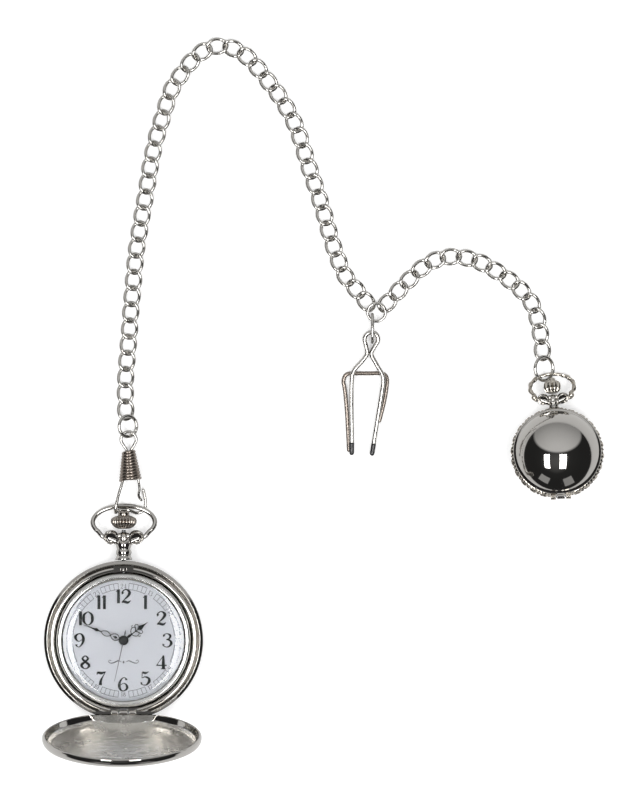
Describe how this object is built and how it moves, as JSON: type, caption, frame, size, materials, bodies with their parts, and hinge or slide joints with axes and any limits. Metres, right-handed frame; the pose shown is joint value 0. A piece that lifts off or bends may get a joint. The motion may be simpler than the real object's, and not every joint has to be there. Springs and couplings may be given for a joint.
{
  "type": "pocket watch",
  "caption": "Round hunter-case quartz pocket watch with hinged lid, crown and bow, on a curb chain with snap clasp, wire belt clip and ball-shaped watch fob.",
  "frame": {"origin": "centre of the case back's flat, on the surface that the watch lies on", "axes": "+Z is the dial's normal, +Y points to 12 o'clock and the crown, +X to 3 o'clock"},
  "size_m": [0.1614, 0.208, 0.0508],
  "materials": {
    "polished_nickel": "polished nickel plate on zinc alloy",
    "satin_nickel": "nickel plate over cast relief",
    "steel": "bright steel",
    "brass": "bare brass",
    "dial_paint": "white lacquered dial with black print",
    "hand_paint": "black lacquered hands",
    "movement_plastic": "moulded plastic",
    "mineral_glass": "clear mineral glass",
    "circuit_board_green": "solder-masked board",
    "enamelled_copper": "enamelled copper wire winding"
  },
  "bodies": {
    "case": {"case_back": "polished_nickel", "case_body": "polished_nickel", "bezel": "polished_nickel", "crystal": "mineral_glass", "dial": "dial_paint", "lid_hinge_pin": "steel", "lid_spring": "steel", "pendant_tube": "polished_nickel", "pendant_collar": "polished_nickel", "movement_holder": "movement_plastic", "mainplate": "brass", "train_bridge": "brass", "bridge_screw_1": "steel", "bridge_screw_2": "steel", "battery": "steel", "battery_clamp": "steel", "circuit_board": "circuit_board_green", "quartz_can": "steel", "coil": "enamelled_copper", "stator": "steel"},
    "lid": {"lid": "polished_nickel"},
    "catch": {"catch_spring": "steel"},
    "setting": {"setting_lever": "steel"},
    "crown": {"crown": "polished_nickel", "winding_stem": "steel", "sliding_pinion": "steel"},
    "minute": {"center_wheel": "brass", "minute_hand": "hand_paint"},
    "hour": {"hour_wheel": "brass", "hour_hand": "hand_paint"},
    "second": {"second_wheel": "steel", "second_hand": "steel"},
    "third": {"third_wheel": "brass"},
    "motion_work": {"minute_wheel": "brass"},
    "intermediate": {"intermediate_wheel": "steel"},
    "rotor": {"rotor": "steel"},
    "bow": {"bow": "polished_nickel"},
    "chain": {"chain_long": "polished_nickel", "chain_short": "polished_nickel", "clasp_hook": "polished_nickel", "clasp_coil": "polished_nickel", "clasp_ring": "polished_nickel", "junction_ring": "polished_nickel", "clip_ring": "polished_nickel", "fob_ring": "polished_nickel"},
    "latch": {"clasp_latch": "polished_nickel"},
    "clip": {"clip_front": "polished_nickel", "clip_back": "polished_nickel"},
    "fob": {"fob_case": "satin_nickel", "fob_back": "polished_nickel", "fob_dial": "dial_paint", "fob_glass": "mineral_glass", "fob_movement": "movement_plastic", "fob_neck": "polished_nickel", "fob_hinge_pin": "steel"},
    "fob_bow": {"fob_bow": "satin_nickel"},
    "fob_cover": {"fob_cover": "polished_nickel"},
    "fob_crown": {"fob_crown": "polished_nickel"},
    "fob_minute": {"fob_minute_hand": "hand_paint"},
    "fob_hour": {"fob_hour_hand": "hand_paint"}
  },
  "joints": [
    {"name": "lid_open", "type": "hinge", "parent": "case", "child": "lid", "pos_m": [0, -0.0209, 0.0086], "axis": [-1, 0, 0], "range_deg": [0, 105]},
    {"name": "catch_press", "type": "slide", "parent": "case", "child": "catch", "axis": [0, -1, 0], "range_m": [0, 0.0005], "stiffness_N_per_m": 4000},
    {"name": "crown_pull", "type": "slide", "parent": "catch", "child": "setting", "axis": [0, 1, 0], "range_m": [0, 0.0005]},
    {"name": "crown_turn", "type": "hinge", "parent": "setting", "child": "crown", "pos_m": [0, 0.0322, 0.0047], "axis": [0, 1, 0], "continuous": true},
    {"name": "minute_turn", "type": "hinge", "parent": "case", "child": "minute", "pos_m": [0, 0, 0.0072], "axis": [0, 0, -1], "continuous": true},
    {"name": "hour_turn", "type": "hinge", "parent": "case", "child": "hour", "pos_m": [0, 0, 0.0066], "axis": [0, 0, -1], "continuous": true},
    {"name": "second_turn", "type": "hinge", "parent": "case", "child": "second", "pos_m": [0, 0, 0.0075], "axis": [0, 0, -1], "continuous": true},
    {"name": "third_turn", "type": "hinge", "parent": "case", "child": "third", "pos_m": [0.00319, 0.00116, 0.003], "axis": [0, 0, -1], "continuous": true},
    {"name": "motion_work_turn", "type": "hinge", "parent": "case", "child": "motion_work", "pos_m": [0.0024, -0.0024, 0.0052], "axis": [0, 0, -1], "continuous": true},
    {"name": "intermediate_turn", "type": "hinge", "parent": "case", "child": "intermediate", "pos_m": [-0.00271, -0.00098, 0.0025], "axis": [0, 0, -1], "continuous": true},
    {"name": "rotor_turn", "type": "hinge", "parent": "case", "child": "rotor", "pos_m": [-0.00393, -0.00311, 0.0033], "axis": [0, 0, -1], "continuous": true},
    {"name": "bow_swing", "type": "hinge", "parent": "case", "child": "bow", "pos_m": [0, 0.03, 0.0047], "axis": [1, 0, 0], "range_deg": [0, 100]},
    {"name": "chain_swing", "type": "hinge", "parent": "bow", "child": "chain", "pos_m": [0, 0.03815, 0.00236], "axis": [-1, 0, 0], "range_deg": [0, 100]},
    {"name": "latch_open", "type": "hinge", "parent": "chain", "child": "latch", "pos_m": [0.0031, 0.0492, 0.0032], "axis": [0, 0, -1], "range_deg": [0, 6], "stiffness_Nm_per_rad": 0.05},
    {"name": "clip_swing", "type": "hinge", "parent": "chain", "child": "clip", "pos_m": [0.072, 0.0888, 0.0023], "axis": [-1, 0, 0], "range_deg": [0, 80]},
    {"name": "fob_bow_swing", "type": "hinge", "parent": "chain", "child": "fob_bow", "pos_m": [0.1225, 0.0766, 0.0024], "axis": [-1, 0, 0], "range_deg": [0, 30]},
    {"name": "fob_swing", "type": "hinge", "parent": "fob_bow", "child": "fob", "pos_m": [0.12421, 0.07002, 0.00585], "axis": [-0.9974, -0.0715, 0], "range_deg": [0, 40]},
    {"name": "fob_cover_open", "type": "hinge", "parent": "fob", "child": "fob_cover", "pos_m": [0.12624, 0.04174, 0.01488], "axis": [0.9974, 0.0715, 0], "range_deg": [0, 100]},
    {"name": "fob_crown_turn", "type": "hinge", "parent": "fob", "child": "fob_crown", "pos_m": [0.12411, 0.07147, 0.00549], "axis": [-0.0694, 0.9678, -0.2419], "continuous": true},
    {"name": "fob_minute_turn", "type": "hinge", "parent": "fob", "child": "fob_minute", "pos_m": [0.12532, 0.05451, 0.01128], "axis": [0.0173, -0.2413, -0.9703], "continuous": true},
    {"name": "fob_hour_turn", "type": "hinge", "parent": "fob", "child": "fob_hour", "pos_m": [0.12533, 0.05441, 0.01089], "axis": [0.0173, -0.2413, -0.9703], "continuous": true}
  ],
  "couplings": [
    {"joint": "minute_turn", "follows": "second_turn", "ratio": 0.016667},
    {"joint": "hour_turn", "follows": "second_turn", "ratio": 0.0013889},
    {"joint": "third_turn", "follows": "second_turn", "ratio": -0.13333},
    {"joint": "motion_work_turn", "follows": "second_turn", "ratio": -0.0055556},
    {"joint": "intermediate_turn", "follows": "second_turn", "ratio": -5},
    {"joint": "rotor_turn", "follows": "second_turn", "ratio": 30},
    {"joint": "chain_swing", "follows": "bow_swing", "ratio": 1},
    {"joint": "fob_hour_turn", "follows": "fob_minute_turn", "ratio": 0.083333}
  ]
}
